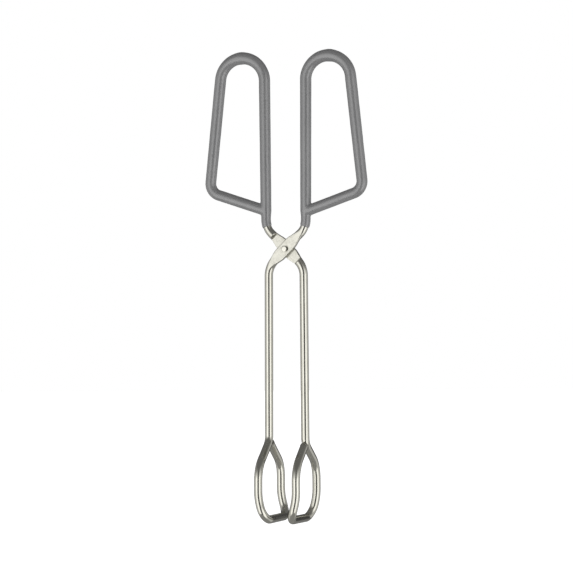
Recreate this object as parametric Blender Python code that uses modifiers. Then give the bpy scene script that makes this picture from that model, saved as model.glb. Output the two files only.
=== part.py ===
"""Scissor-action jar lifter: two crossed wire arms on one rivet, with dipped vinyl handle loops.

Metres, +Z up. The origin is the centre of the pivot rivet. +Z runs from the pivot to the handles,
the rivet's axis is Y, and its small head faces -Y. The two arms are the same piece: the back arm is
the front arm turned half a turn about Z. Each arm is one length of wire: handle loop, inner leg,
flattened pivot plate, shank and jaw loop.
"""

import math

import bmesh
import bpy
from mathutils import Matrix, Quaternion, Vector

MM = 0.001

# Wire, coating and the gap kept between neighbouring pieces
WIRE_RADIUS = 2.65 * MM
GAP = 0.3 * MM
BORE_RADIUS = 3.0 * MM
GRIP_RADIUS = 3.7 * MM
GRIP_TOP_RADIUS = 4.2 * MM
GRIP_END_RADIUS = 3.4 * MM

# At rest each arm leans this much about the rivet, so that the jaws and the handles spread a little
REST_LEAN = math.radians(0.24)

# Pivot: both arms pass through the origin at this slope, and each is flattened to half thickness
PLATE_SLOPE = math.radians(45)
PLATE_HALF_WIDTH = 4.3 * MM
PLATE_TIP_HALF_WIDTH = 2.2 * MM
PLATE_FULL_WIDTH_TO = 6.0 * MM
PLATE_END = 13.0 * MM
ROUND_WIRE_FROM = 11.0 * MM
PLATE_INNER_Y = 0.15 * MM
PLATE_OUTER_Y = 2.5 * MM
BEND_RADIUS = 13.0 * MM

# Handle loop, in the XZ plane, from its welded end round to the inner leg
LEG_X = 13.65 * MM
LOOP_TOP_Z = 123.3 * MM
LOOP_TOP_RADIUS = 15.1 * MM
LOOP_LEAN = math.radians(6.45)
LOOP_CORNER_Z = 36.9 * MM
LOOP_CORNER_RADIUS = 8.0 * MM
LOOP_JOIN_Z = 24.3 * MM
LOOP_END_X = 18.1 * MM
GRIP_END_TURN = math.radians(20.5)

# Shank and jaw loop. The loop stands across the arm and curls towards the other jaw
SHANK_X = -11.85 * MM
JAW_APEX_Z = -123.9 * MM
JAW_SHOULDER_Z = -140.2 * MM
JAW_BOTTOM_Z = -173.0 * MM
JAW_HALF_DEPTH = 20.3 * MM
JAW_APEX_RADIUS = 8.0 * MM
JAW_SHOULDER_RADIUS = 9.0 * MM
JAW_BOTTOM_RADIUS = 8.0 * MM
JAW_END_Y = 2.3 * MM
JAW_CURL_FROM_Z = -154.0 * MM
JAW_CURL_RADIUS = 40.0 * MM

# Weld nuggets
HANDLE_WELD_RADIUS = 2.4 * MM
HANDLE_WELD_LENGTH = 2.6 * MM
JAW_WELD_RADIUS = 2.0 * MM
JAW_WELD_LENGTH = 2.2 * MM

# Vinyl web where the loop's end meets the inner leg
BOSS_RADIUS = 4.0 * MM
BOSS_LENGTH = 13.0 * MM
BOSS_SPREAD = 1.25
BOSS_FLATTEN = 0.92
BOSS_BORE_RADIUS = 3.2 * MM
BOSS_BORE_LENGTH = 8.0 * MM

# Rivet
RIVET_SHANK_RADIUS = 1.6 * MM
RIVET_HEAD_UNDERSIDE = PLATE_OUTER_Y + GAP
FRONT_HEAD_RADIUS = 2.25 * MM
FRONT_HEAD_FLAT_RADIUS = 1.4 * MM
FRONT_HEAD_TOP = 4.0 * MM
BACK_HEAD_RADIUS = 3.5 * MM
BACK_HEAD_FLAT_RADIUS = 2.0 * MM
BACK_HEAD_TOP = 4.3 * MM

# Fineness of the faceted shapes
ARC_STEP = math.radians(11)
CURL_STEP = 3.5 * MM
WIRE_SIDES = 12
GRIP_SIDES = 16
TURNED_STEPS = 24
MERGE = 0.001 * MM

COLLECTION = "jar_lifter"
CUTTER_COLLECTION = "jar_lifter_cutters"
NICKEL = (0.76, 0.76, 0.68, 1.0)
WELD_METAL = (0.55, 0.54, 0.49, 1.0)
GREY_VINYL = (0.19, 0.19, 0.20, 1.0)


def clear_scene():
    for obj in list(bpy.data.objects):
        bpy.data.objects.remove(obj, do_unlink=True)


def new_collection(name, for_cutters=False):
    collection = bpy.data.collections.new(name)
    collection.hide_render = for_cutters
    bpy.context.scene.collection.children.link(collection)
    return collection


def material(name, color, metallic, roughness):
    made = bpy.data.materials.new(name)
    made.use_nodes = True
    shader = made.node_tree.nodes["Principled BSDF"]
    shader.inputs["Base Color"].default_value = color
    shader.inputs["Metallic"].default_value = metallic
    shader.inputs["Roughness"].default_value = roughness
    return made


# Centrelines


def rounded_path(corners, radii):
    """Straight runs between the corners, with an arc of the given radius at each inner corner."""
    points = [corners[0]]
    for before, corner, after, radius in zip(corners, corners[1:], corners[2:], radii):
        into = (corner - before).normalized()
        out = (after - corner).normalized()
        turn = into.angle(out)
        centre = corner + (out - into).normalized() * radius / math.cos(turn / 2)
        start = corner - into * radius * math.tan(turn / 2) - centre
        steps = max(2, round(turn / ARC_STEP))
        for step in range(steps + 1):
            turned = Quaternion(into.cross(out), turn * step / steps) @ start
            points.append(centre + turned)
    points.append(corners[-1])
    kept = points[:1]
    for point in points[1:]:
        if (point - kept[-1]).length > 10 * MERGE:
            kept.append(point)
    return kept


def handle_corners():
    """The handle loop's corners, from its welded end to the pivot."""
    quarter = math.radians(90)
    shoulder_x = LEG_X + LOOP_TOP_RADIUS * (1 + math.tan((quarter - LOOP_LEAN) / 2))
    corner_x = shoulder_x + (LOOP_TOP_Z - LOOP_CORNER_Z) * math.tan(LOOP_LEAN)
    corner = Vector((corner_x, 0, LOOP_CORNER_Z))
    join = Vector((LEG_X, 0, LOOP_JOIN_Z))
    end = join.lerp(corner, (LOOP_END_X - LEG_X) / (corner_x - LEG_X))
    shoulder = Vector((shoulder_x, 0, LOOP_TOP_Z))
    top = Vector((LEG_X, 0, LOOP_TOP_Z))
    bend = Vector((LEG_X, 0, LEG_X * math.tan(PLATE_SLOPE)))
    return [end, corner, shoulder, top, bend]


def jaw_corners():
    """The shank's and jaw loop's corners, from the pivot to the loop's welded end."""
    bend = Vector((SHANK_X, 0, SHANK_X * math.tan(PLATE_SLOPE)))
    apex = Vector((SHANK_X, 0, JAW_APEX_Z))
    front_shoulder = Vector((SHANK_X, -JAW_HALF_DEPTH, JAW_SHOULDER_Z))
    front_bottom = Vector((SHANK_X, -JAW_HALF_DEPTH, JAW_BOTTOM_Z))
    back_bottom = Vector((SHANK_X, JAW_HALF_DEPTH, JAW_BOTTOM_Z))
    back_shoulder = Vector((SHANK_X, JAW_HALF_DEPTH, JAW_SHOULDER_Z))
    end = apex.lerp(back_shoulder, JAW_END_Y / JAW_HALF_DEPTH)
    return [bend, apex, front_shoulder, front_bottom, back_bottom, back_shoulder, end]


def curled(points):
    """The same points with the jaw loop's lower part curled towards the other jaw."""
    dense = points[:1]
    for point in points[1:]:
        before = dense[-1]
        curls = min(before.z, point.z) < JAW_CURL_FROM_Z and abs(before.z - point.z) > CURL_STEP
        pieces = math.ceil((point - before).length / CURL_STEP) if curls else 1
        dense += [before.lerp(point, piece / pieces) for piece in range(1, pieces + 1)]
    for point in dense:
        below = max(0.0, JAW_CURL_FROM_Z - point.z)
        point.x += JAW_CURL_RADIUS - math.sqrt(JAW_CURL_RADIUS**2 - below**2)
    return dense


def arm_path():
    radii = [LOOP_CORNER_RADIUS, LOOP_TOP_RADIUS, LOOP_TOP_RADIUS, BEND_RADIUS, BEND_RADIUS]
    radii += [JAW_APEX_RADIUS, JAW_SHOULDER_RADIUS]
    radii += [JAW_BOTTOM_RADIUS, JAW_BOTTOM_RADIUS, JAW_SHOULDER_RADIUS]
    return curled(rounded_path(handle_corners() + jaw_corners(), radii))


def grip_path():
    """The coated part of the arm: the handle loop and the leg, as far as partway round its bend."""
    corners = handle_corners()
    bend = corners[-1]
    radii = [LOOP_CORNER_RADIUS, LOOP_TOP_RADIUS, LOOP_TOP_RADIUS]
    reach = BEND_RADIUS * math.tan((math.radians(90) - PLATE_SLOPE) / 2)
    bend_centre = bend + Vector((-BEND_RADIUS, 0, reach))
    points = rounded_path(corners[:-1] + [bend + Vector((0, 0, reach))], radii)
    steps = max(2, round(GRIP_END_TURN / ARC_STEP))
    for step in range(1, steps + 1):
        angle = GRIP_END_TURN * step / steps
        points.append(bend_centre + BEND_RADIUS * Vector((math.cos(angle), 0, -math.sin(angle))))
    return points


def grip_radius_at(point):
    """The coating is thickest where it dripped, at the loop's top, and thinnest at its open end."""
    rise = max(0.0, (point.z - LOOP_TOP_Z + LOOP_TOP_RADIUS) / LOOP_TOP_RADIUS)
    radius = GRIP_RADIUS + (GRIP_TOP_RADIUS - GRIP_RADIUS) * rise**4
    if point.x < LEG_X + MERGE and point.z < LOOP_JOIN_Z:
        bend_start_z = LEG_X * math.tan(PLATE_SLOPE)
        along = min(1.0, (LOOP_JOIN_Z - point.z) / (LOOP_JOIN_Z - bend_start_z))
        radius += (GRIP_END_RADIUS - GRIP_RADIUS) * along
    return radius


# Solids


def mesh_object(name, mesh, collection, smooth=True):
    obj = bpy.data.objects.new(name, mesh)
    collection.objects.link(obj)
    if smooth:
        mesh.shade_smooth()
        mesh.set_sharp_from_angle(angle=math.radians(35))
    return obj


def solid_from_curve(obj, collection):
    """Replaces a curve object with the closed mesh of the same name that it evaluates to."""
    bpy.context.view_layer.update()
    graph = bpy.context.evaluated_depsgraph_get()
    mesh = bpy.data.meshes.new_from_object(obj.evaluated_get(graph))
    name, placed = obj.name, obj.matrix_world.copy()
    bpy.data.objects.remove(obj, do_unlink=True)
    welded = bmesh.new()
    welded.from_mesh(mesh)
    bmesh.ops.remove_doubles(welded, verts=welded.verts, dist=MERGE)
    bmesh.ops.recalc_face_normals(welded, faces=welded.faces)
    welded.to_mesh(mesh)
    welded.free()
    made = mesh_object(name, mesh, collection)
    made.matrix_world = placed
    return made


def tube(name, points, sides, radius_at, collection):
    """A round bar along the points, with a radius that may change on the way."""
    curve = bpy.data.curves.new(name, "CURVE")
    curve.dimensions = "3D"
    curve.bevel_depth = 1.0
    curve.bevel_resolution = sides // 2 - 2
    curve.use_fill_caps = True
    spline = curve.splines.new("POLY")
    spline.points.add(len(points) - 1)
    for item, point in zip(spline.points, points):
        item.co = (*point, 1.0)
        item.radius = radius_at(point)
    obj = bpy.data.objects.new(name, curve)
    collection.objects.link(obj)
    return solid_from_curve(obj, collection)


def cylinder(name, start, direction, length, radius, collection):
    """A cylinder from the start point along a direction in the object's own frame."""
    mesh = bpy.data.meshes.new(name)
    shape = bmesh.new()
    bmesh.ops.create_cone(
        shape, cap_ends=True, segments=TURNED_STEPS, radius1=radius, radius2=radius, depth=length
    )
    bmesh.ops.translate(shape, verts=shape.verts, vec=(0, 0, length / 2))
    shape.to_mesh(mesh)
    shape.free()
    obj = mesh_object(name, mesh, collection)
    upright = Vector((0, 0, 1)).rotation_difference(direction.normalized())
    obj.matrix_world = Matrix.Translation(start) @ upright.to_matrix().to_4x4()
    return obj


def box_cutter(name, low, high, collection):
    mesh = bpy.data.meshes.new(name)
    shape = bmesh.new()
    bmesh.ops.create_cube(shape, size=1.0)
    bmesh.ops.scale(shape, verts=shape.verts, vec=high - low)
    bmesh.ops.translate(shape, verts=shape.verts, vec=(low + high) / 2)
    shape.to_mesh(mesh)
    shape.free()
    return mesh_object(name, mesh, collection, smooth=False)


def boolean(obj, other, operation):
    modifier = obj.modifiers.new(f"{operation.lower()} {other.name}", "BOOLEAN")
    modifier.operation = operation
    modifier.solver = "EXACT"
    modifier.object = other


def hide_cutters(collection):
    for obj in collection.objects:
        obj.hide_render = True
        obj.display_type = "WIRE"


# Pieces of one arm, built as the front arm


def pivot_plate(side, collection):
    """The flattened stretch of the wire: an outline that narrows towards the round wire."""
    outline = [
        (PLATE_END, PLATE_TIP_HALF_WIDTH),
        (PLATE_FULL_WIDTH_TO, PLATE_HALF_WIDTH),
        (-PLATE_FULL_WIDTH_TO, PLATE_HALF_WIDTH),
        (-PLATE_END, PLATE_TIP_HALF_WIDTH),
        (-PLATE_END, -PLATE_TIP_HALF_WIDTH),
        (-PLATE_FULL_WIDTH_TO, -PLATE_HALF_WIDTH),
        (PLATE_FULL_WIDTH_TO, -PLATE_HALF_WIDTH),
        (PLATE_END, -PLATE_TIP_HALF_WIDTH),
    ]
    curve = bpy.data.curves.new(f"{side}_plate", "CURVE")
    curve.dimensions = "2D"
    curve.fill_mode = "BOTH"
    curve.extrude = (PLATE_OUTER_Y - PLATE_INNER_Y) / 2
    spline = curve.splines.new("POLY")
    spline.points.add(len(outline) - 1)
    for item, (along, across) in zip(spline.points, outline):
        item.co = (along, across, 0, 1)
    spline.use_cyclic_u = True
    obj = bpy.data.objects.new(curve.name, curve)
    collection.objects.link(obj)
    obj.location.y = -(PLATE_OUTER_Y + PLATE_INNER_Y) / 2
    obj.rotation_euler = (math.radians(90), -PLATE_SLOPE, 0)
    return solid_from_curve(obj, collection)


def arm_wire(side, parts, cutters):
    arm = tube(f"{side}_arm_wire", arm_path(), WIRE_SIDES, lambda _: WIRE_RADIUS, parts)
    half = Vector((ROUND_WIRE_FROM, 2 * WIRE_RADIUS, 2 * WIRE_RADIUS))
    lap = box_cutter(f"{side}_lap_cutter", -half, half, cutters)
    lap.rotation_euler.y = -PLATE_SLOPE
    hole_start = Vector((0, -2 * PLATE_OUTER_Y, 0))
    hole_length = 4 * PLATE_OUTER_Y
    hole_radius = RIVET_SHANK_RADIUS + GAP
    hole = cylinder(
        f"{side}_rivet_hole", hole_start, Vector((0, 1, 0)), hole_length, hole_radius, cutters
    )
    boolean(arm, lap, "DIFFERENCE")
    boolean(arm, pivot_plate(side, cutters), "UNION")
    boolean(arm, hole, "DIFFERENCE")
    return arm


def grip_boss(name, join, along, cutters):
    """The coating round the loop's end: a short tube that widens in the loop's plane at the leg."""
    boss = cylinder(name, join, along, BOSS_LENGTH, BOSS_RADIUS, cutters)
    to_local = boss.matrix_world.to_3x3().transposed()
    across = to_local @ Vector((0, 1, 0))
    in_plane = to_local @ Vector((0, 1, 0)).cross(along)
    for vertex in boss.data.vertices:
        if vertex.co.z < BOSS_LENGTH / 2:
            vertex.co += in_plane * vertex.co.dot(in_plane) * (BOSS_SPREAD - 1)
            vertex.co += across * vertex.co.dot(across) * (BOSS_FLATTEN - 1)
    return boss


def grip(side, clearance, parts, cutters):
    sleeve = tube(f"{side}_grip", grip_path(), GRIP_SIDES, grip_radius_at, parts)
    end, corner = handle_corners()[:2]
    along = (corner - end).normalized()
    join = Vector((LEG_X, 0, LOOP_JOIN_Z))
    boss_bore = cylinder(
        f"{side}_boss_bore", join, along, BOSS_BORE_LENGTH, BOSS_BORE_RADIUS, cutters
    )
    boolean(sleeve, grip_boss(f"{side}_grip_boss", join, along, cutters), "UNION")
    boolean(sleeve, clearance, "DIFFERENCE")
    boolean(sleeve, boss_bore, "DIFFERENCE")
    return sleeve


def weld(name, wire_end_points, length, radius, clearance, parts):
    """The nugget between a wire's cut end, given by its last point and the one before, and the arm."""
    wire_end, wire_before = wire_end_points
    onward = (wire_end - wire_before).normalized()
    nugget = cylinder(name, wire_end + onward * GAP, onward, length, radius, parts)
    boolean(nugget, clearance, "DIFFERENCE")
    return nugget


def build_arm(side, turn, parts, cutters, finishes):
    """All pieces of one arm, on an empty at the pivot that turns them about Z to their side."""
    path = arm_path()
    clearance = tube(f"{side}_clearance", path, WIRE_SIDES, lambda _: BORE_RADIUS, cutters)
    handle_weld = weld(
        f"{side}_handle_weld", path[:2], HANDLE_WELD_LENGTH, HANDLE_WELD_RADIUS, clearance, parts
    )
    jaw_weld = weld(
        f"{side}_jaw_weld", path[:-3:-1], JAW_WELD_LENGTH, JAW_WELD_RADIUS, clearance, parts
    )
    wire = arm_wire(side, parts, cutters)
    sleeve = grip(side, clearance, parts, cutters)
    for piece, finish in [
        (wire, finishes["wire"]),
        (sleeve, finishes["grip"]),
        (handle_weld, finishes["weld"]),
        (jaw_weld, finishes["weld"]),
    ]:
        piece.data.materials.clear()
        piece.data.materials.append(finish)
    pivot = bpy.data.objects.new(f"{side}_arm", None)
    parts.objects.link(pivot)
    for obj in list(parts.objects) + list(cutters.objects):
        if obj.name.startswith(f"{side}_") and obj is not pivot:
            obj.parent = pivot
    pivot.rotation_euler = (0, REST_LEAN, turn)


def pivot_rivet(parts, finish):
    """A turned rivet: a small flat-topped head in front and a wider set head behind."""
    profile = [
        (0, FRONT_HEAD_TOP),
        (FRONT_HEAD_FLAT_RADIUS, FRONT_HEAD_TOP),
        (0.9 * FRONT_HEAD_RADIUS, FRONT_HEAD_TOP - GAP),
        (FRONT_HEAD_RADIUS, RIVET_HEAD_UNDERSIDE),
        (RIVET_SHANK_RADIUS, RIVET_HEAD_UNDERSIDE),
        (RIVET_SHANK_RADIUS, -RIVET_HEAD_UNDERSIDE),
        (BACK_HEAD_RADIUS, -RIVET_HEAD_UNDERSIDE),
        (0.9 * BACK_HEAD_RADIUS, -BACK_HEAD_TOP + 2 * GAP),
        (BACK_HEAD_FLAT_RADIUS, -BACK_HEAD_TOP),
        (0, -BACK_HEAD_TOP),
    ]
    mesh = bpy.data.meshes.new("pivot_rivet")
    edges = [(index, index + 1) for index in range(len(profile) - 1)]
    mesh.from_pydata([(radius, 0, height) for radius, height in profile], edges, [])
    mesh.materials.append(finish)
    rivet = mesh_object("pivot_rivet", mesh, parts)
    rivet.rotation_euler.x = math.radians(90)
    screw = rivet.modifiers.new("turn", "SCREW")
    screw.steps = TURNED_STEPS
    screw.render_steps = TURNED_STEPS
    screw.use_merge_vertices = True
    screw.merge_threshold = MERGE
    return rivet


def main():
    clear_scene()
    parts = new_collection(COLLECTION)
    cutters = new_collection(CUTTER_COLLECTION, for_cutters=True)
    for side, turn in [("front", 0.0), ("back", math.pi)]:
        finishes = {
            "wire": material(f"{side}_nickel_wire", NICKEL, metallic=1.0, roughness=0.25),
            "grip": material(f"{side}_grey_vinyl", GREY_VINYL, metallic=0.0, roughness=0.45),
            "weld": material(f"{side}_weld_metal", WELD_METAL, metallic=1.0, roughness=0.5),
        }
        build_arm(side, turn, parts, cutters, finishes)
    pivot_rivet(parts, material("nickel_rivet", NICKEL, metallic=1.0, roughness=0.3))
    hide_cutters(cutters)


main()
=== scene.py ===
"""The looks of a scissor-action jar lifter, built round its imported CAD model.

Metres, +Z up, in the row frame: the origin is the centre of the pivot rivet, +Z runs to the handles
and the rivet's axis is Y. Each arm's wire, dip coating and weld beads are shaped as the front arm's,
with the small differences of a hand-bent tool, and the back arm's are then turned half a turn about Z.
"""

import math

import bmesh
import bpy
import numpy as np
from mathutils import Euler, Matrix, Quaternion, Vector, noise


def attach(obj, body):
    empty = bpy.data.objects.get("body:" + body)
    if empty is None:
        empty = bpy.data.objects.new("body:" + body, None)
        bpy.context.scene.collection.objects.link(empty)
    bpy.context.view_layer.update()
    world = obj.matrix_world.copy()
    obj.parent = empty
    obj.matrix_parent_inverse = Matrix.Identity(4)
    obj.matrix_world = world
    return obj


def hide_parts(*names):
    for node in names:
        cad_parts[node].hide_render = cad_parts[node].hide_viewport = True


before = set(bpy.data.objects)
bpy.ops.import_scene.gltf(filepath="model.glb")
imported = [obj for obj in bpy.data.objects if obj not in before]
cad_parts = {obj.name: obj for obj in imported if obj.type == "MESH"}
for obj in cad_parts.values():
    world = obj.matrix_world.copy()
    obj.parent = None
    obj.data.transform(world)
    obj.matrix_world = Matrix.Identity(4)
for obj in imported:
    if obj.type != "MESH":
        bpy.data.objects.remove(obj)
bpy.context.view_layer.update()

MM = 0.001
PROBE = 0.02 * MM

# Wire and coating
WIRE_RADIUS = 2.65 * MM
GRIP_RADIUS = 3.66 * MM
GRIP_LOWER_RADIUS = 3.45 * MM
GRIP_TAIL_RADIUS = 3.08 * MM
GRIP_BORE_RADIUS = 2.68 * MM
DRIP_SWELL = 0.2 * MM
DRIP_NIB = 0.18 * MM
DRIP_NIB_WIDTH = 2.5 * MM
DRIP_NIB_X = 29.8 * MM
REST_LEAN = math.radians(0.24)

# Pivot: the wire is pressed into a plate that fills the front half of its thickness
PLATE_SLOPE = math.radians(45)
PLATE_HALF_WIDTH = 4.0 * MM
PLATE_FRONT_Y = -2.5 * MM
PLATE_BACK_Y = -0.15 * MM
PLATE_FRONT_CORNER = 0.45 * MM
PLATE_BACK_CORNER = 0.3 * MM
PLATE_WIDE_UP_TO = 4.5 * MM
PLATE_NARROW_FROM = 12.5 * MM
FLAT_UP_TO = 9.0 * MM
ROUND_FROM = 18.5 * MM
STEP_FOOT = 11.0 * MM
STEP_TOP = 12.0 * MM
BEND_RADIUS = 13.0 * MM

# Handle loop, in the XZ plane
LEG_X = 13.65 * MM
UPPER_BEND_X = 13.45 * MM
LOOP_TOP_Z = 123.4 * MM
LOOP_TOP_RADIUS = 15.18 * MM
LOOP_LEAN = math.radians(6.45)
LOOP_CORNER_Z = 37.3 * MM
LOOP_CORNER_RADIUS = 8.0 * MM
LOOP_JOIN_Z = {"front": 23.95 * MM, "back": 24.75 * MM}
LEG_COATED_Z = 24.3 * MM
LOOP_END_X = 18.1 * MM
GRIP_END_TURN = math.radians(20.5)

# Shank and jaw loop. The loop stands across the arm and curls towards the other jaw
SHANK_X = -11.85 * MM
JAW_APEX_Z = {"front": -123.9 * MM, "back": -125.1 * MM}
JAW_SHOULDER_Z = -139.8 * MM
JAW_BOTTOM_Z = -173.0 * MM
JAW_HALF_DEPTH = 20.3 * MM
JAW_APEX_RADIUS = 8.0 * MM
JAW_SHOULDER_RADIUS = 17.0 * MM
JAW_BOTTOM_RADIUS = 8.0 * MM
JAW_END_Y = 2.3 * MM
JAW_END_RISE = {"front": 0.6 * MM, "back": 0.0}
JAW_CURL_FROM_Z = -154.0 * MM
JAW_CURL_RADIUS = 40.0 * MM

# How each hand-bent jaw loop is off from the drawing
JAW_OFF = {
    "front": {"turn": math.radians(-0.8), "aside": 0.26 * MM, "longer": 0.0, "slant": 0.0},
    "back": {"turn": math.radians(0.6), "aside": -0.33 * MM, "longer": 0.3 * MM, "slant": -0.017},
}

# Rivet. A sine of the distance from its axis times TURNING_MARKS gives its faint turned rings
RIVET_SHANK_RADIUS = 1.6 * MM
RIVET_HOLE_RADIUS = 1.7 * MM
RIVET_SEAT = 2.52 * MM
FRONT_HEAD_RADIUS = 2.0 * MM
FRONT_HEAD_TOP = 3.95 * MM
BACK_HEAD_RADIUS = 3.5 * MM
BACK_HEAD_TOP = 4.25 * MM
FRONT_HEAD_FLAT, FRONT_HEAD_SLOPE = 0.55, math.radians(28)
BACK_HEAD_FLAT, BACK_HEAD_SLOPE = 0.3, math.radians(60)
TURNING_MARKS = 14 / MM

# Welds
BEAD_RING_RADIUS = 2.0 * MM
BEAD_RADIUS = 0.8 * MM
HANDLE_BEAD_BEYOND = 0.6 * MM
JAW_BEAD_BEYOND = 0.2 * MM
BEAD_RIPPLE = 0.14 * MM
BEAD_SWELL = 0.18
BEAD_SWELL_SCALE = 1.7
BEAD_WANDER = 0.15 * MM
BEAD_RIPPLES = 11

# Fineness of the meshes
WIRE_SIDES = 40
WIRE_STEP = 0.8 * MM
HIDDEN_WIRE_STEP = 3.0 * MM
PLATE_STEP = 0.4 * MM
LAP_STEP = 0.1 * MM
END_ROUNDING = 0.5 * MM
END_ANGLES = (90, 68, 45, 22)
SLEEVE_SIDES = 24
SLEEVE_STEP = 2.0 * MM
GRIP_VOXEL = 0.5 * MM
GRIP_FILLET = 1.0 * MM
GRIP_BAR_SET_BACK = 2.6 * MM
GRIP_LIP_ROUNDING = 0.8 * MM
GRIP_WAVE = 0.05 * MM
GRIP_WAVE_LENGTH = 9.0 * MM
SETTLING_STEPS = 4
LEAST_SLOPE = 0.2
HEAD_STEPS = 8
TURNED_STEPS = 64
BEAD_STEPS = 88
BEAD_SIDES = 12
SHORTEST_EDGE = 0.004 * MM
SHARP_ANGLE = math.radians(50)

# Camera
CAMERA_AZIMUTH = math.radians(20)
CAMERA_ROLL = math.radians(-0.356)
CAMERA_DISTANCE = 1.75
CAMERA_LENS = 171.25
CAMERA_SENSOR = 36
CAMERA_ASIDE = 0.13 * MM
CAMERA_BELOW = 24.2 * MM

# Floor and lights. A light's directions are in degrees: from the camera, and above level
FLOOR_Z = -0.32
FLOOR_RADIUS = 6.0
FLOOR_SIDES = 96
LIGHT_DISTANCE = 1.3
LIGHT_LOW, LIGHT_HIGH = -45, 3
LIGHT_RADIANCE = 0.25
FILL_LOW, FILL_HIGH = -30, 40
FILL_WIDTH = 60
FILL_RADIANCE = 0.9

# What the metal mirrors: a dark gap round the camera, then a bright panel, a wall and a dark back.
# Each has its radiance, the degrees from the camera at which it begins, and how softly it does
GAP = 0.11
PANEL, PANEL_FROM, PANEL_SOFTNESS = 1.15, 21, 2.5
WALL, WALL_FROM, WALL_SOFTNESS = 0.57, 67, 5
BACK, BACK_FROM, BACK_SOFTNESS = 0.05, 132, 9

# The radiance overhead, underneath and low at the back. Each change of radiance with height takes
# place between two heights, given as the sine of the angle above level
OVERHEAD, OVERHEAD_RISE = 0.16, (0.25, 0.65)
UNDERNEATH, UNDERNEATH_RISE = 0.28, (-0.7, -0.25)
BACK_LOW, BACK_LOW_RISE = 0.22, (-0.32, -0.1)
SIDES_TOP = (0.05, 0.72)
SIDES_BOTTOM = (-0.69, -0.65)


# Centrelines, as straight runs and arcs


class Run:
    def __init__(self, start, end):
        self.start = start
        self.along = (end - start).normalized()
        self.length = (end - start).length

    def point(self, distance):
        return self.start + self.along * distance

    def nearest(self, points):
        """The nearest point of the run to each of many points, as arrays."""
        start, along = np.array(self.start), np.array(self.along)
        distance = np.clip((points - start) @ along, 0, self.length)
        return start + distance[:, None] * along


class Arc:
    def __init__(self, centre, spoke, axis, turn):
        self.centre = centre
        self.spoke = spoke
        self.axis = axis.normalized()
        self.turn = turn
        self.length = spoke.length * turn

    def point(self, distance):
        return self.centre + Quaternion(self.axis, distance / self.spoke.length) @ self.spoke

    def nearest(self, points):
        centre, spoke = np.array(self.centre), np.array(self.spoke)
        onward = np.array(self.axis.cross(self.spoke))
        angle = np.arctan2((points - centre) @ onward, (points - centre) @ spoke)
        angle = np.clip(angle, 0, self.turn)[:, None]
        return centre + np.cos(angle) * spoke + np.sin(angle) * onward


class Path:
    """A wire's centreline: runs and arcs in turn, which a bend function may then move."""

    def __init__(self, pieces, bend=None):
        self.pieces = pieces
        self.bend = bend
        self.length = sum(piece.length for piece in pieces)

    def point(self, distance):
        """The point at a distance from the start. The two end pieces go on past the path's ends."""
        for piece in self.pieces[:-1]:
            if distance < piece.length:
                break
            distance -= piece.length
        else:
            piece = self.pieces[-1]
        point = piece.point(distance)
        return self.bend(point) if self.bend else point

    def direction(self, distance):
        return (self.point(distance + PROBE) - self.point(distance - PROBE)).normalized()

    def nearest_to_pivot(self):
        """The distance along the path at which it passes through the origin."""
        low, high = 0.0, self.length
        while high - low > PROBE / 100:
            middle = (low + high) / 2
            if self.point(middle).z > 0:
                low = middle
            else:
                high = middle
        return low


def pieces_through(corners, radii):
    """Straight runs between the corners, with an arc of the given radius at each inner corner."""
    pieces = []
    run_start = corners[0]
    for before, corner, after, radius in zip(corners, corners[1:], corners[2:], radii):
        into = (corner - before).normalized()
        out = (after - corner).normalized()
        turn = into.angle(out)
        reach = radius * math.tan(turn / 2)
        centre = corner + (out - into).normalized() * radius / math.cos(turn / 2)
        arc_start = corner - into * reach
        pieces.append(Run(run_start, arc_start))
        pieces.append(Arc(centre, arc_start - centre, into.cross(out), turn))
        run_start = corner + out * reach
    pieces.append(Run(run_start, corners[-1]))
    return pieces


def handle_corners(side, start_x):
    """The handle loop's corners, from a start on the join bar to the upper bend."""
    shoulder_x = LEG_X + LOOP_TOP_RADIUS * (1 + math.tan((math.pi / 2 - LOOP_LEAN) / 2))
    corner_x = shoulder_x + (LOOP_TOP_Z - LOOP_CORNER_Z) * math.tan(LOOP_LEAN)
    corner = Vector((corner_x, 0, LOOP_CORNER_Z))
    join = Vector((LEG_X, 0, LOOP_JOIN_Z[side]))
    start = join.lerp(corner, (start_x - LEG_X) / (corner_x - LEG_X))
    shoulder = Vector((shoulder_x, 0, LOOP_TOP_Z))
    top = Vector((LEG_X, 0, LOOP_TOP_Z))
    bend = Vector((UPPER_BEND_X, 0, UPPER_BEND_X * math.tan(PLATE_SLOPE)))
    return [start, corner, shoulder, top, bend]


def jaw_corners(side):
    """The shank's and jaw loop's corners, from the lower bend to the loop's welded end."""
    bend = Vector((SHANK_X, 0, SHANK_X * math.tan(PLATE_SLOPE)))
    apex = Vector((SHANK_X, 0, JAW_APEX_Z[side]))
    front_shoulder = Vector((SHANK_X, -JAW_HALF_DEPTH, JAW_SHOULDER_Z))
    front_bottom = Vector((SHANK_X, -JAW_HALF_DEPTH, JAW_BOTTOM_Z))
    back_bottom = Vector((SHANK_X, JAW_HALF_DEPTH, JAW_BOTTOM_Z))
    back_shoulder = Vector((SHANK_X, JAW_HALF_DEPTH, JAW_SHOULDER_Z))
    end = apex.lerp(back_shoulder, JAW_END_Y / JAW_HALF_DEPTH)
    end.z += JAW_END_RISE[side]
    return [bend, apex, front_shoulder, front_bottom, back_bottom, back_shoulder, end]


def handle_radii():
    return [LOOP_CORNER_RADIUS, LOOP_TOP_RADIUS, LOOP_TOP_RADIUS, BEND_RADIUS]


def arm_path(side):
    jaw_radii = [BEND_RADIUS, JAW_APEX_RADIUS, JAW_SHOULDER_RADIUS]
    jaw_radii += [JAW_BOTTOM_RADIUS, JAW_BOTTOM_RADIUS, JAW_SHOULDER_RADIUS]
    corners = handle_corners(side, LOOP_END_X) + jaw_corners(side)
    pieces = pieces_through(corners, handle_radii() + jaw_radii)
    return Path(pieces, lambda point: bent_jaw(point, side))


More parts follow.
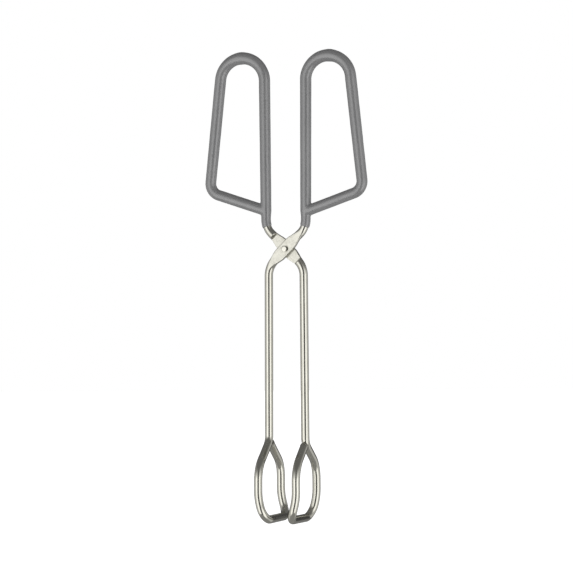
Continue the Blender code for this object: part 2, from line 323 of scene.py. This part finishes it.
def handle_path(side, start_x, last_turn=None):
    """The handle's part of the centreline, from the join bar into the upper bend or through it."""
    corners = handle_corners(side, start_x) + [Vector((0, 0, 0))]
    pieces = pieces_through(corners, handle_radii())[:-1]
    bend = pieces[-1]
    pieces[-1] = Arc(bend.centre, bend.spoke, bend.axis, last_turn or bend.turn)
    return Path(pieces)


def bent_jaw(point, side):
    """Curls a jaw loop's lower part towards the other jaw, and sets the loop off as it was bent."""
    below = max(0.0, JAW_CURL_FROM_Z - point.z)
    lean = JAW_CURL_RADIUS - math.sqrt(JAW_CURL_RADIUS**2 - below**2)
    off, apex_z = JAW_OFF[side], JAW_APEX_Z[side]
    share = smoothstep(apex_z, JAW_SHOULDER_Z, point.z)
    turned = Matrix.Rotation(off["turn"] * share, 2) @ Vector((point.x - SHANK_X, point.y))
    down = max(0.0, (apex_z - point.z) / (apex_z - JAW_BOTTOM_Z))
    drop = down * (off["longer"] + off["slant"] * point.y)
    return Vector((SHANK_X + turned.x + lean + off["aside"] * share, turned.y, point.z - drop))


# Mesh helpers


def mix(first, second, share):
    return first + (second - first) * share


def smoothstep(low, high, value):
    share = min(1.0, max(0.0, (value - low) / (high - low)))
    return share * share * (3 - 2 * share)


def ring_mesh(name, rings, closed_round=False):
    """A closed mesh over rings of points. Its two ends get flat caps, unless it closes on itself."""
    count, last = len(rings[0]), len(rings) if closed_round else len(rings) - 1
    faces = []
    for ring in range(last):
        low, high = ring * count, (ring + 1) % len(rings) * count
        for side in range(count):
            beside = (side + 1) % count
            faces.append((low + side, low + beside, high + beside, high + side))
    if not closed_round:
        faces.append(tuple(reversed(range(count))))
        faces.append(tuple(range(last * count, (last + 1) * count)))
    mesh = bpy.data.meshes.new(name)
    mesh.from_pydata([point for ring in rings for point in ring], [], faces)
    outward = bmesh.new()
    outward.from_mesh(mesh)
    bmesh.ops.recalc_face_normals(outward, faces=outward.faces)
    outward.to_mesh(mesh)
    outward.free()
    mesh.shade_smooth()
    return mesh


def turned_mesh(name, profile):
    """A solid of revolution about the Y axis, from its (radius, y) profile."""
    turns = [2 * math.pi * step / TURNED_STEPS for step in range(TURNED_STEPS)]
    rings = [[Vector((r * math.cos(t), y, r * math.sin(t))) for t in turns] for r, y in profile]
    return ring_mesh(name, rings)


def new_object(name, data):
    obj = bpy.data.objects.new(name, data)
    bpy.context.scene.collection.objects.link(obj)
    return obj


def apply_modifiers(obj):
    graph = bpy.context.evaluated_depsgraph_get()
    made = bpy.data.meshes.new_from_object(obj.evaluated_get(graph), depsgraph=graph)
    obj.modifiers.clear()
    obj.data = made


def cut_away(obj, cutter):
    modifier = obj.modifiers.new("cut", "BOOLEAN")
    modifier.operation = "DIFFERENCE"
    modifier.solver = "EXACT"
    modifier.object = cutter
    apply_modifiers(obj)
    bpy.data.objects.remove(cutter, do_unlink=True)
    clean = bmesh.new()
    clean.from_mesh(obj.data)
    bmesh.ops.remove_doubles(clean, verts=clean.verts, dist=SHORTEST_EDGE)
    bmesh.ops.dissolve_degenerate(clean, edges=clean.edges, dist=SHORTEST_EDGE)
    bmesh.ops.triangulate(clean, faces=[face for face in clean.faces if len(face.verts) > 4])
    clean.to_mesh(obj.data)
    clean.free()


def store(mesh, name, kind, values):
    """Keeps values for the mesh's points as an attribute that its material reads."""
    attribute = mesh.attributes.new(name, kind, "POINT")
    field = "vector" if kind == "FLOAT_VECTOR" else "value"
    attribute.data.foreach_set(field, np.array(values, np.float32).ravel())


# The wire


def outline(half_width, front, back, front_corner, back_corner):
    """Points round a rounded rectangle, from the middle of its front and closest at its corners.

    With both corners as round as its half width, it is a circle of evenly spaced points.
    """
    middle = Vector((0, front))
    corners = [
        Vector((half_width - front_corner, front + front_corner)),
        Vector((half_width - back_corner, back - back_corner)),
        Vector((back_corner - half_width, back - back_corner)),
        Vector((front_corner - half_width, front + front_corner)),
    ]
    radii = [front_corner, back_corner, back_corner, front_corner]
    pieces = []
    here = middle
    spoke_direction = Vector((0, -1))
    quarter = Matrix.Rotation(math.pi / 2, 2)
    for corner, radius in zip(corners, radii):
        spoke = spoke_direction * radius
        pieces.append(((corner + spoke - here).length, 0.0, here, corner + spoke))
        pieces.append((radius * math.pi / 2, math.pi / 2, corner, spoke))
        spoke_direction = quarter @ spoke_direction
        here = corner + spoke_direction * radius
    pieces.append(((middle - here).length, 0.0, here, middle))
    total = sum(piece[0] for piece in pieces)
    shares = [(length / total + turn / (2 * math.pi)) / 2 for length, turn, _, _ in pieces]
    points = []
    index, passed = 0, 0.0
    for side in range(WIRE_SIDES):
        target = side / WIRE_SIDES
        while index < len(pieces) - 1 and target > passed + shares[index]:
            passed += shares[index]
            index += 1
        part = (target - passed) / max(shares[index], 1e-9)
        _, turn, first, second = pieces[index]
        turned = first + Matrix.Rotation(turn * part, 2) @ second
        points.append(turned if turn else first.lerp(second, part))
    return points


def wire_section(from_pivot):
    """The wire's cross-section at a distance from the pivot: round, or pressed into a plate."""
    away = abs(from_pivot)
    pressed = 1 - smoothstep(FLAT_UP_TO, ROUND_FROM, away)
    widened = 1 - smoothstep(PLATE_WIDE_UP_TO, PLATE_NARROW_FROM, away)
    lapped = 1 - smoothstep(STEP_FOOT, STEP_TOP, away)
    return outline(
        half_width=mix(WIRE_RADIUS, PLATE_HALF_WIDTH, widened),
        front=mix(-WIRE_RADIUS, PLATE_FRONT_Y, pressed),
        back=mix(WIRE_RADIUS, PLATE_BACK_Y, lapped),
        front_corner=mix(WIRE_RADIUS, PLATE_FRONT_CORNER, pressed),
        back_corner=mix(WIRE_RADIUS, PLATE_BACK_CORNER, lapped),
    )


def rounded_end(end, direction):
    """(station, scale) for the rings that round a cut end of the wire, from its flat face inwards."""
    rings = []
    for angle in END_ANGLES:
        inset = END_ROUNDING * (1 - math.sin(math.radians(angle)))
        shrink = END_ROUNDING / WIRE_RADIUS * (1 - math.cos(math.radians(angle)))
        rings.append((end + direction * inset, 1 - shrink))
    return rings


def wire_stations(length, pivot):
    """(station, scale) for every ring of the arm's wire: finest at the pivot, coarse where coated."""
    coated_to = pivot - ROUND_FROM - 2 * HIDDEN_WIRE_STEP
    stations = rounded_end(0.0, 1)
    here = END_ROUNDING
    while here < length - END_ROUNDING:
        stations.append((here, 1.0))
        away = abs(here - pivot)
        if STEP_FOOT - LAP_STEP < away < STEP_TOP + LAP_STEP:
            here += LAP_STEP
        elif away < ROUND_FROM:
            here += PLATE_STEP
        else:
            here += HIDDEN_WIRE_STEP if here < coated_to else WIRE_STEP
    return stations + rounded_end(length, -1)[::-1]


def arm_wire_mesh(name, path):
    """The whole arm's wire in one mesh, with its own straightened coordinates for the material."""
    pivot = path.nearest_to_pivot()
    front = Vector((0, -1, 0))
    rings, straight, pressed = [], [], []
    for station, scale in wire_stations(path.length, pivot):
        along = path.direction(station)
        front = (front - along * front.dot(along)).normalized()
        across = front.cross(along)
        centre = path.point(station)
        section = [scale * point for point in wire_section(station - pivot)]
        rings.append([centre + across * point.x - front * point.y for point in section])
        straight += [(point.x, point.y, station - pivot) for point in section]
        plate = 1 - smoothstep(STEP_FOOT, ROUND_FROM, abs(station - pivot))
        pressed += [plate] * len(section)
    mesh = ring_mesh(name, rings)
    store(mesh, "straight", "FLOAT_VECTOR", straight)
    store(mesh, "pressed", "FLOAT", pressed)
    return mesh


def rivet_hole_cutter():
    profile = [(RIVET_HOLE_RADIUS, -2 * WIRE_RADIUS), (RIVET_HOLE_RADIUS, WIRE_RADIUS)]
    return new_object("rivet_hole", turned_mesh("rivet_hole", profile))


# The coating


def grip_radii(centres):
    """The coating's radius round each centreline point: swollen where it dripped, thin at its tail."""
    up = (centres[:, 2] - LEG_COATED_Z) / (LOOP_TOP_Z - LEG_COATED_Z)
    radii = GRIP_LOWER_RADIUS + (GRIP_RADIUS - GRIP_LOWER_RADIUS) * np.clip(up, 0, 1)
    rise = np.clip((centres[:, 2] - LOOP_TOP_Z + LOOP_TOP_RADIUS) / LOOP_TOP_RADIUS, 0, 1)
    nib = np.exp(-(((centres[:, 0] - DRIP_NIB_X) / DRIP_NIB_WIDTH) ** 2))
    radii += DRIP_SWELL * rise**4 + DRIP_NIB * nib * (rise > 0.5)
    below = np.clip((LEG_COATED_Z - centres[:, 2]) / GRIP_LOWER_RADIUS, 0, 1)
    return radii + (GRIP_TAIL_RADIUS - GRIP_LOWER_RADIUS) * below


def smooth_union(first, second, width):
    blend = np.clip(width - np.abs(first - second), 0, None)
    return np.minimum(first, second) - blend**2 / (4 * width)


def grip_distance(points, path):
    """The signed distance of points to the coating's outer surface, with a fillet at the join."""
    each = []
    for piece in path.pieces:
        centres = piece.nearest(points)
        each.append(np.linalg.norm(points - centres, axis=1) - grip_radii(centres))
    bar, leg = each[0], each[-2]
    distance = np.minimum(np.min(each, axis=0), smooth_union(bar, leg, GRIP_FILLET))
    past_end = (points - np.array(path.point(path.length))) @ np.array(path.direction(path.length))
    return -smooth_union(-distance, -past_end, GRIP_LIP_ROUNDING)


def settle_on_surface(points, path):
    """Moves points onto the coating's outer surface by a few Newton steps."""
    for _ in range(SETTLING_STEPS):
        distance = grip_distance(points, path)
        steps = np.eye(3) * PROBE
        slope = [(grip_distance(points + step, path) - distance) / PROBE for step in steps]
        slope = np.stack(slope, axis=1)
        steepness = np.maximum((slope**2).sum(axis=1), LEAST_SLOPE)
        points = points - slope * (distance / steepness)[:, None]
    return points


def sleeve_mesh(name, path, radius):
    """A plain tube along a path in the XZ plane."""
    depth = Vector((0, 1, 0))
    steps = math.ceil(path.length / SLEEVE_STEP)
    rings = []
    for step in range(steps + 1):
        station = path.length * step / steps
        across = path.direction(station).cross(depth)
        centre = path.point(station)
        turns = [2 * math.pi * side / SLEEVE_SIDES for side in range(SLEEVE_SIDES)]
        rings.append([centre + radius * (across * math.cos(t) + depth * math.sin(t)) for t in turns])
    return ring_mesh(name, rings)


def grip_object(name, side):
    """The dip coating: one skin over the loop, its join and the leg, bored out for the wire."""
    path = handle_path(side, LEG_X + GRIP_BAR_SET_BACK, GRIP_END_TURN)
    grip = new_object(name, sleeve_mesh(name, path, GRIP_RADIUS))
    remesh = grip.modifiers.new("one skin", "REMESH")
    remesh.mode = "VOXEL"
    remesh.voxel_size = GRIP_VOXEL
    apply_modifiers(grip)
    mesh = grip.data
    points = np.array([vertex.co for vertex in mesh.vertices], float)
    points = settle_on_surface(points, path)
    waves = [noise.noise(Vector(point) / GRIP_WAVE_LENGTH) for point in points]
    mesh.vertices.foreach_set("co", points.astype(np.float32).ravel())
    mesh.update()
    normals = np.array([vertex.normal for vertex in mesh.vertices])
    points += GRIP_WAVE * np.array(waves)[:, None] * normals
    mesh.vertices.foreach_set("co", points.astype(np.float32).ravel())
    mesh.update()
    bore_path = handle_path(side, LOOP_END_X)
    bore = new_object("bore", sleeve_mesh("bore", bore_path, GRIP_BORE_RADIUS))
    cut_away(grip, bore)
    grip.data.shade_smooth()
    grip.data.set_sharp_from_angle(angle=SHARP_ANGLE)
    return grip


# Rivet and welds


def head_profile(radius, top, flat_share, slope):
    """(radius, height) points over a head, from its flat middle to its rim, down to where it seats."""
    flat = flat_share * radius
    curve = (radius - flat) / math.sin(slope)
    points = []
    for step in range(HEAD_STEPS + 1):
        turn = slope * step / HEAD_STEPS
        points.append((flat + curve * math.sin(turn), top - curve * (1 - math.cos(turn))))
    return points + [(radius, RIVET_SEAT), (RIVET_SHANK_RADIUS, RIVET_SEAT)]


def rivet_mesh(name):
    front = head_profile(FRONT_HEAD_RADIUS, FRONT_HEAD_TOP, FRONT_HEAD_FLAT, FRONT_HEAD_SLOPE)
    front = [(radius, -height) for radius, height in front]
    back = head_profile(BACK_HEAD_RADIUS, BACK_HEAD_TOP, BACK_HEAD_FLAT, BACK_HEAD_SLOPE)
    mesh = turned_mesh(name, front + back[::-1])
    mesh.set_sharp_from_angle(angle=SHARP_ANGLE)
    return mesh


def bead_mesh(name, centre, axis):
    """A rippled weld bead: a ring of once molten metal round a wire's cut end."""
    side = axis.orthogonal().normalized()
    beyond = axis.cross(side)
    rings = []
    for step in range(BEAD_STEPS):
        turn = 2 * math.pi * step / BEAD_STEPS
        spoke = side * math.cos(turn) + beyond * math.sin(turn)
        ripple = abs(math.sin(turn * BEAD_RIPPLES / 2))
        swell = noise.noise(spoke * BEAD_SWELL_SCALE)
        thick = BEAD_RADIUS * (1 + BEAD_SWELL * swell) + BEAD_RIPPLE * (ripple - 0.5)
        middle = centre + spoke * BEAD_RING_RADIUS + axis * BEAD_WANDER * swell
        tilts = [2 * math.pi * tilt / BEAD_SIDES for tilt in range(BEAD_SIDES)]
        rings.append([middle + thick * (spoke * math.cos(t) + axis * math.sin(t)) for t in tilts])
    return ring_mesh(name, rings, closed_round=True)


# Materials


class Nodes:
    """Short calls for a node tree. An input may be a value, or the output of another node."""

    def __init__(self, tree):
        self.tree = tree

    def node(self, kind, inputs=None, **settings):
        made = self.tree.nodes.new(kind)
        for key, value in settings.items():
            setattr(made, key, value)
        for key, value in (inputs or {}).items():
            self.set(made, key, value)
        return made

    def set(self, node, key, value):
        if isinstance(value, bpy.types.NodeSocket):
            self.tree.links.new(value, node.inputs[key])
        else:
            node.inputs[key].default_value = value

    def math(self, operation, first, second=0.0):
        return self.node("ShaderNodeMath", {0: first, 1: second}, operation=operation).outputs[0]

    def ramp(self, value, low, high, to_low=0.0, to_high=1.0):
        inputs = {0: value, 1: low, 2: high, 3: to_low, 4: to_high}
        return self.node("ShaderNodeMapRange", inputs, interpolation_type="SMOOTHSTEP").outputs[0]


class Finish(Nodes):
    """A Principled material under construction."""

    def __init__(self, name):
        self.material = bpy.data.materials.new(name)
        self.material.use_nodes = True
        super().__init__(self.material.node_tree)
        self.shader = self.tree.nodes["Principled BSDF"]

    def attribute(self, name):
        return self.node("ShaderNodeAttribute", attribute_type="GEOMETRY", attribute_name=name)

    def stretched(self, vector, scale):
        return self.node("ShaderNodeMapping", {"Vector": vector, "Scale": scale}).outputs[0]

    def noise(self, vector, scale, detail=3.0, roughness=0.5):
        inputs = {"Vector": vector, "Scale": scale, "Detail": detail, "Roughness": roughness}
        return self.node("ShaderNodeTexNoise", inputs).outputs["Fac"]

    def colour(self, share, first, second):
        return self.node("ShaderNodeMix", {0: share, 6: first, 7: second}, data_type="RGBA").outputs[2]

    def bump(self, height, distance, strength, under=None):
        inputs = {"Height": height, "Distance": distance, "Strength": strength}
        if under is not None:
            inputs["Normal"] = under
        return self.node("ShaderNodeBump", inputs).outputs["Normal"]

    def finish(self, **sockets):
        for key, value in sockets.items():
            self.set(self.shader, key.replace("_", " "), value)
        return self.material


def nickel_wire():
    """Bright nickel over drawn steel wire: fine drawing lines along it, satin where it was pressed."""
    make = Finish("nickel_wire")
    straight = make.attribute("straight").outputs["Vector"]
    pressed = make.attribute("pressed").outputs["Fac"]
    drawn = make.noise(make.stretched(straight, (1, 1, 0.012)), 5200, detail=4.0)
    patches = make.noise(straight, 140, detail=3.0)
    mottle = make.noise(straight, 600, detail=4.0)
    tint = make.colour(make.ramp(patches, 0.35, 0.7), (0.7, 0.688, 0.615, 1), (0.665, 0.65, 0.575, 1))
    spots = make.math("MULTIPLY", make.ramp(mottle, 0.58, 0.75), make.math("ADD", pressed, 0.15))
    tint = make.colour(make.math("MULTIPLY", spots, 0.4), tint, (0.58, 0.56, 0.475, 1))
    lines = make.ramp(drawn, 0.3, 0.7, 0.1, 0.2)
    satin = make.ramp(mottle, 0.3, 0.7, 0.26, 0.38)
    wide = make.math("MULTIPLY", make.math("SUBTRACT", satin, lines), pressed)
    rough = make.math("ADD", lines, wide)
    fine = make.bump(drawn, 0.003 * MM, 0.6)
    dented = make.bump(mottle, 0.005 * MM, 0.4, fine)
    return make.finish(Base_Color=tint, Metallic=1.0, Roughness=rough, Normal=dented)


def rivet_metal():
    """Nickel over a turned and struck rivet: faint rings and small strike marks."""
    make = Finish("rivet_metal")
    place = make.node("ShaderNodeTexCoord").outputs["Object"]
    split = make.node("ShaderNodeSeparateXYZ", {0: place})
    flat = make.node("ShaderNodeCombineXYZ", {0: split.outputs[0], 1: split.outputs[2]})
    reach = make.node("ShaderNodeVectorMath", {0: flat.outputs[0]}, operation="LENGTH")
    rings = make.math("SINE", make.math("MULTIPLY", reach.outputs["Value"], TURNING_MARKS))
    marks = make.noise(place, 1100, detail=3.0)
    tint = make.colour(make.ramp(marks, 0.4, 0.7), (0.74, 0.725, 0.65, 1), (0.67, 0.65, 0.57, 1))
    rough = make.ramp(marks, 0.3, 0.75, 0.12, 0.28)
    fine = make.bump(rings, 0.001 * MM, 0.4)
    dented = make.bump(marks, 0.006 * MM, 0.4, fine)
    return make.finish(Base_Color=tint, Metallic=1.0, Roughness=rough, Normal=dented)


def weld_metal():
    """Plated weld metal: duller, slightly grainy, and darker than the wire in random patches. Its dark
    tones are partly the weld's own and partly painted shade at the welded joints.
    """
    make = Finish("weld_metal")
    place = make.node("ShaderNodeTexCoord").outputs["Object"]
    grain = make.noise(place, 2600, detail=5.0, roughness=0.65)
    stain = make.noise(place, 600, detail=2.0)
    # Both tones are partly the weld's own dull colour and partly painted shade at the welded joints;
    # the stain noise mixes them in random patches.
    tint = make.colour(make.ramp(stain, 0.35, 0.7), (0.46, 0.45, 0.4, 1), (0.28, 0.27, 0.23, 1))
    rough = make.ramp(grain, 0.3, 0.7, 0.3, 0.5)
    return make.finish(
        Base_Color=tint, Metallic=1.0, Roughness=rough, Normal=make.bump(grain, 0.02 * MM, 0.6)
    )


def grey_vinyl():
    """Dipped vinyl: smooth and fairly glossy, with a faint orange peel and slow changes of shade."""
    make = Finish("grey_vinyl")
    place = make.node("ShaderNodeTexCoord").outputs["Object"]
    peel = make.noise(place, 1300, detail=2.0)
    cloud = make.noise(place, 90, detail=3.0)
    fine = make.noise(place, 6000, detail=3.0)
    tint = make.colour(make.ramp(cloud, 0.3, 0.7), (0.294, 0.294, 0.297, 1), (0.317, 0.317, 0.32, 1))
    specks = make.math("MULTIPLY", make.ramp(fine, 0.62, 0.75), 0.35)
    tint = make.colour(specks, tint, (0.25, 0.25, 0.252, 1))
    rough = make.ramp(cloud, 0.3, 0.7, 0.2, 0.27)
    waves = make.bump(peel, 0.02 * MM, 0.18)
    skin = make.bump(fine, 0.003 * MM, 0.25, waves)
    return make.finish(
        Base_Color=tint, Roughness=rough, IOR=1.62, Specular_IOR_Level=1.0, Normal=skin
    )


# The object


def add_piece(obj, body, nodes, finish):
    obj.data.materials.clear()
    obj.data.materials.append(finish)
    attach(obj, body)
    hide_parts(*nodes)


def place_on_arm(obj, turn):
    """Leans a piece of the front arm as at rest, and turns it to its arm's side."""
    obj.data.transform(Euler((0, REST_LEAN, turn)).to_matrix().to_4x4())


def build_arm(side, turn, finishes):
    path = arm_path(side)
    wire = new_object(f"{side}_wire", arm_wire_mesh(f"{side}_wire", path))
    cut_away(wire, rivet_hole_cutter())
    wire.data.set_sharp_from_angle(angle=SHARP_ANGLE)
    beads = []
    for name, station in (("handle", -HANDLE_BEAD_BEYOND), ("jaw", path.length + JAW_BEAD_BEYOND)):
        name = f"{side}_{name}_bead"
        mesh = bead_mesh(name, path.point(station), path.direction(station))
        beads.append(new_object(name, mesh))
    for obj, node, slot in [
        (wire, "arm_wire", "nickel_wire"),
        (grip_object(f"{side}_coating", side), "grip", "grey_vinyl"),
        (beads[0], "handle_weld", "weld_metal"),
        (beads[1], "jaw_weld", "weld_metal"),
    ]:
        place_on_arm(obj, turn)
        add_piece(obj, f"{side}_arm", [f"{side}_{node}"], finishes[slot])


# The studio


def camera_back():
    return Vector((math.sin(CAMERA_AZIMUTH), -math.cos(CAMERA_AZIMUTH), 0))


def camera_right():
    return Vector((math.cos(CAMERA_AZIMUTH), math.sin(CAMERA_AZIMUTH), 0))


def floor():
    mesh = bpy.data.meshes.new("floor")
    disc = bmesh.new()
    bmesh.ops.create_circle(disc, cap_ends=True, segments=FLOOR_SIDES, radius=FLOOR_RADIUS)
    disc.to_mesh(mesh)
    disc.free()
    obj = new_object("floor", mesh)
    obj.location.z = FLOOR_Z
    obj.visible_glossy = False
    obj.visible_diffuse = False
    obj.visible_shadow = False
    pale = Finish("pale_floor").finish(
        Base_Color=(0.9, 0.9, 0.9, 1), Roughness=0.9, Emission_Color=(1, 1, 1, 1), Emission_Strength=1.0
    )
    mesh.materials.append(pale)


class Surroundings(Nodes):
    """A white backdrop for the camera, and round the object the studio that its metal mirrors."""

    def __init__(self):
        world = bpy.data.worlds.new("studio")
        bpy.context.scene.world = world
        world.use_nodes = True
        super().__init__(world.node_tree)
        self.tree.nodes.clear()

    def along(self, direction, axis):
        made = self.node(
            "ShaderNodeVectorMath", {0: direction, 1: tuple(axis)}, operation="DOT_PRODUCT"
        )
        return made.outputs["Value"]

    def change(self, azimuth, at, softness, by):
        """A change of radiance at an angle from the camera, to either side."""
        low, high = math.radians(at - softness), math.radians(at + softness)
        return self.ramp(azimuth, low, high, 0.0, by)

    def build(self):
        direction = self.node("ShaderNodeTexCoord").outputs["Generated"]
        aside = self.math("ABSOLUTE", self.along(direction, camera_right()))
        azimuth = self.math("ARCTAN2", aside, self.along(direction, camera_back()))
        height = self.along(direction, (0, 0, 1))
        above = self.ramp(height, *OVERHEAD_RISE, GAP, OVERHEAD)
        below = self.ramp(height, *UNDERNEATH_RISE, UNDERNEATH - GAP, 0.0)
        dim = self.math("ADD", above, below)
        panel = self.change(azimuth, PANEL_FROM, PANEL_SOFTNESS, PANEL - GAP)
        wall = self.change(azimuth, WALL_FROM, WALL_SOFTNESS, WALL - PANEL)
        ground = self.ramp(height, *BACK_LOW_RISE, BACK_LOW - WALL, BACK - WALL)
        back = self.math("MULTIPLY", self.change(azimuth, BACK_FROM, BACK_SOFTNESS, 1.0), ground)
        sides = self.math("ADD", GAP, self.math("ADD", panel, self.math("ADD", wall, back)))
        top = self.ramp(height, *SIDES_TOP, 1.0, 0.0)
        bottom = self.ramp(height, *SIDES_BOTTOM)
        reach = self.math("MULTIPLY", top, bottom)
        lit = self.math("MULTIPLY", reach, self.math("SUBTRACT", sides, dim))
        shade = self.math("ADD", dim, lit)
        studio = self.node("ShaderNodeBackground", {"Color": shade})
        backdrop = self.node("ShaderNodeBackground", {"Color": (1, 1, 1, 1)})
        seen = self.node("ShaderNodeLightPath").outputs["Is Camera Ray"]
        choose = self.node(
            "ShaderNodeMixShader", {0: seen, 1: studio.outputs[0], 2: backdrop.outputs[0]}
        )
        self.node("ShaderNodeOutputWorld", {"Surface": choose.outputs[0]})


def softbox(name, azimuth, width, low, high, radiance):
    """A rectangular light that faces the object. Its place and its size are angles in degrees."""
    outward = Matrix.Rotation(math.radians(azimuth), 3, "Z") @ camera_back()
    bottom, top = (LIGHT_DISTANCE * math.tan(math.radians(angle)) for angle in (low, high))
    light = bpy.data.lights.new(name, "AREA")
    light.shape = "RECTANGLE"
    light.size = 2 * LIGHT_DISTANCE * math.tan(math.radians(width / 2))
    light.size_y = top - bottom
    light.energy = math.pi * radiance * light.size * light.size_y
    obj = new_object(name, light)
    obj.location = LIGHT_DISTANCE * outward + Vector((0, 0, (bottom + top) / 2))
    obj.rotation_mode = "QUATERNION"
    obj.rotation_quaternion = (-outward).to_track_quat("-Z", "Y")
    obj.visible_camera = False
    return obj


def lights():
    """A light in front of each side's panel, and a fill behind that only brightens the coating."""
    width, azimuth = WALL_FROM - PANEL_FROM, (WALL_FROM + PANEL_FROM) / 2
    for name, side in (("left_softbox", -1), ("right_softbox", 1)):
        softbox(name, side * azimuth, width, LIGHT_LOW, LIGHT_HIGH, LIGHT_RADIANCE)
    fill = softbox("rear_fill", 180, FILL_WIDTH, FILL_LOW, FILL_HIGH, FILL_RADIANCE)
    fill.visible_glossy = False


def camera():
    data = bpy.data.cameras.new("camera")
    data.sensor_width = CAMERA_SENSOR
    data.lens = CAMERA_LENS
    obj = new_object("camera", data)
    back, right = camera_back(), camera_right()
    obj.location = CAMERA_DISTANCE * back + CAMERA_ASIDE * right - CAMERA_BELOW * Vector((0, 0, 1))
    obj.rotation_mode = "QUATERNION"
    roll = Quaternion((0, 0, 1), CAMERA_ROLL)
    obj.rotation_quaternion = (-back).to_track_quat("-Z", "Y") @ roll
    bpy.context.scene.camera = obj


def main():
    bpy.context.scene.view_settings.view_transform = "Standard"
    camera()
    lights()
    Surroundings().build()
    floor()
    finishes = {
        "nickel_wire": nickel_wire(),
        "grey_vinyl": grey_vinyl(),
        "weld_metal": weld_metal(),
        "rivet_metal": rivet_metal(),
    }
    build_arm("front", 0.0, finishes)
    build_arm("back", math.pi, finishes)
    rivet = new_object("rivet", rivet_mesh("rivet"))
    add_piece(rivet, "front_arm", ["pivot_rivet"], finishes["rivet_metal"])


main()
